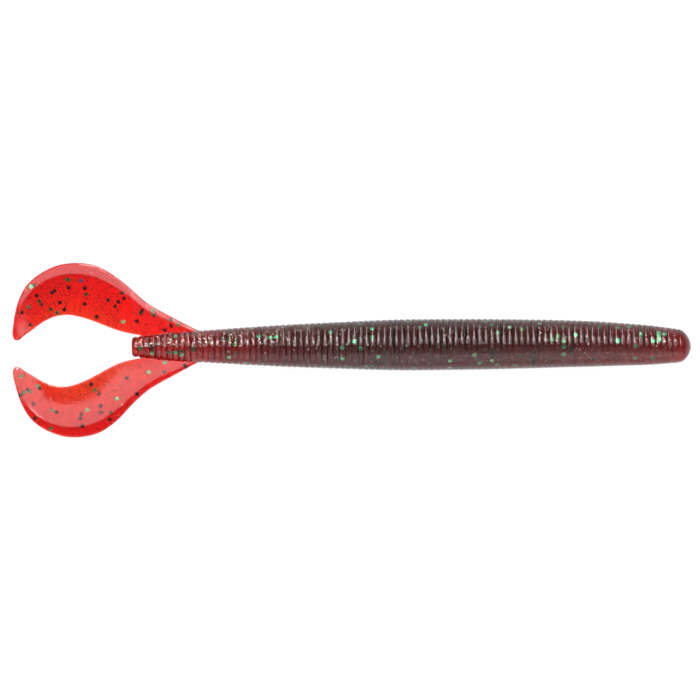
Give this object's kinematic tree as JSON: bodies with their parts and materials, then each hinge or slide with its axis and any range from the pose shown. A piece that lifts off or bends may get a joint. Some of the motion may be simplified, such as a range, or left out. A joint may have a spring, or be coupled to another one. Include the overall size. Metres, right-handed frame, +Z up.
{
  "type": "soft plastic worm",
  "caption": "Ribbed soft plastic worm, thick in the middle and tapered to a blunt nose and a thin rear end that carries two flat curled tails; translucent dark red with red tails.",
  "frame": {"origin": "on the floor under the middle of the whole outline", "axes": "+X along the body to the nose, +Y to the worm's left, +Z up from the belly"},
  "size_m": [0.1649, 0.0424, 0.0124],
  "materials": {
    "body_maroon": "clear dark red soft plastic, glossy, with green and black flakes",
    "tail_red": "clear bright red soft plastic, glossy, with green and black flakes"
  },
  "bodies": {
    "nose_section": {"nose_section": "body_maroon"},
    "body_link_01": {"body_link_01": "body_maroon"},
    "body_link_02": {"body_link_02": "body_maroon"},
    "body_link_03": {"body_link_03": "body_maroon"},
    "body_link_04": {"body_link_04": "body_maroon"},
    "body_link_05": {"body_link_05": "body_maroon"},
    "body_link_06": {"body_link_06": "body_maroon"},
    "body_link_07": {"body_link_07": "body_maroon"},
    "body_link_08": {"body_link_08": "body_maroon"},
    "body_link_09": {"body_link_09": "body_maroon"},
    "body_link_10": {"body_link_10": "body_maroon"},
    "body_link_11": {"body_link_11": "body_maroon"},
    "tail_stem": {"tail_stem": "body_maroon"},
    "left_tail_inner": {"left_tail_inner": "tail_red"},
    "left_tail_middle": {"left_tail_middle": "tail_red"},
    "left_tail_tip": {"left_tail_tip": "tail_red"},
    "right_tail_inner": {"right_tail_inner": "tail_red"},
    "right_tail_middle": {"right_tail_middle": "tail_red"},
    "right_tail_tip": {"right_tail_tip": "tail_red"}
  },
  "joints": [
    {"name": "lift_bend_01", "type": "hinge", "parent": "nose_section", "child": "body_link_01", "pos_m": [0.06781, 0.00072, 0.00512], "axis": [0.0087, 1, 0], "range_deg": [0, 18], "stiffness_Nm_per_rad": 0.0016},
    {"name": "side_bend_02", "type": "hinge", "parent": "body_link_01", "child": "body_link_02", "pos_m": [0.05915, 0.00072, 0.00554], "axis": [-0.0087, 0, 1], "range_deg": [-18, 18], "stiffness_Nm_per_rad": 0.0021},
    {"name": "lift_bend_03", "type": "hinge", "parent": "body_link_02", "child": "body_link_03", "pos_m": [0.0505, 0.00072, 0.00578], "axis": [0.0087, 1, 0], "range_deg": [0, 18], "stiffness_Nm_per_rad": 0.0025},
    {"name": "side_bend_04", "type": "hinge", "parent": "body_link_03", "child": "body_link_04", "pos_m": [0.04184, 0.00072, 0.00599], "axis": [-0.0087, 0, 1], "range_deg": [-18, 18], "stiffness_Nm_per_rad": 0.0029},
    {"name": "lift_bend_05", "type": "hinge", "parent": "body_link_04", "child": "body_link_05", "pos_m": [0.03318, 0.00072, 0.00612], "axis": [0.0087, 1, 0], "range_deg": [0, 18], "stiffness_Nm_per_rad": 0.0032},
    {"name": "side_bend_06", "type": "hinge", "parent": "body_link_05", "child": "body_link_06", "pos_m": [0.02452, 0.00072, 0.00622], "axis": [-0.0087, 0, 1], "range_deg": [-18, 18], "stiffness_Nm_per_rad": 0.0034},
    {"name": "lift_bend_07", "type": "hinge", "parent": "body_link_06", "child": "body_link_07", "pos_m": [0.01586, 0.00072, 0.00621], "axis": [0.0087, 1, 0], "range_deg": [0, 18], "stiffness_Nm_per_rad": 0.0034},
    {"name": "side_bend_08", "type": "hinge", "parent": "body_link_07", "child": "body_link_08", "pos_m": [0.00721, 0.00072, 0.00607], "axis": [-0.0087, 0, 1], "range_deg": [-18, 18], "stiffness_Nm_per_rad": 0.0031},
    {"name": "lift_bend_09", "type": "hinge", "parent": "body_link_08", "child": "body_link_09", "pos_m": [-0.00145, 0.00072, 0.00575], "axis": [0.0087, 1, 0], "range_deg": [0, 18], "stiffness_Nm_per_rad": 0.0025},
    {"name": "side_bend_10", "type": "hinge", "parent": "body_link_09", "child": "body_link_10", "pos_m": [-0.01011, 0.00072, 0.0054], "axis": [-0.0087, 0, 1], "range_deg": [-18, 18], "stiffness_Nm_per_rad": 0.0019},
    {"name": "lift_bend_11", "type": "hinge", "parent": "body_link_10", "child": "body_link_11", "pos_m": [-0.01877, 0.00072, 0.00498], "axis": [0.0087, 1, 0], "range_deg": [0, 18], "stiffness_Nm_per_rad": 0.0014},
    {"name": "side_bend_12", "type": "hinge", "parent": "body_link_11", "child": "tail_stem", "pos_m": [-0.02743, 0.00072, 0.00449], "axis": [-0.0087, 0, 1], "range_deg": [-18, 18], "stiffness_Nm_per_rad": 0.00092},
    {"name": "left_tail_inner_bend", "type": "hinge", "parent": "tail_stem", "child": "left_tail_inner", "pos_m": [-0.0567, 0.00072, 0.003], "axis": [0.0087, 1, 0], "range_deg": [-2, 45], "stiffness_Nm_per_rad": 0.000028},
    {"name": "left_tail_middle_bend", "type": "hinge", "parent": "left_tail_inner", "child": "left_tail_middle", "pos_m": [-0.064, 0.00072, 0.003], "axis": [0.0087, 1, 0], "range_deg": [-2, 40], "stiffness_Nm_per_rad": 0.000026},
    {"name": "left_tail_tip_bend", "type": "hinge", "parent": "left_tail_middle", "child": "left_tail_tip", "pos_m": [-0.0713, 0.00072, 0.003], "axis": [0.0087, 1, 0], "range_deg": [-2, 35], "stiffness_Nm_per_rad": 0.000022},
    {"name": "right_tail_inner_bend", "type": "hinge", "parent": "tail_stem", "child": "right_tail_inner", "pos_m": [-0.0567, 0.00072, 0.003], "axis": [0.0087, 1, 0], "range_deg": [-2, 45], "stiffness_Nm_per_rad": 0.000028},
    {"name": "right_tail_middle_bend", "type": "hinge", "parent": "right_tail_inner", "child": "right_tail_middle", "pos_m": [-0.064, 0.00072, 0.003], "axis": [0.0087, 1, 0], "range_deg": [-2, 40], "stiffness_Nm_per_rad": 0.000026},
    {"name": "right_tail_tip_bend", "type": "hinge", "parent": "right_tail_middle", "child": "right_tail_tip", "pos_m": [-0.0713, 0.00072, 0.003], "axis": [0.0087, 1, 0], "range_deg": [-2, 35], "stiffness_Nm_per_rad": 0.000022}
  ]
}
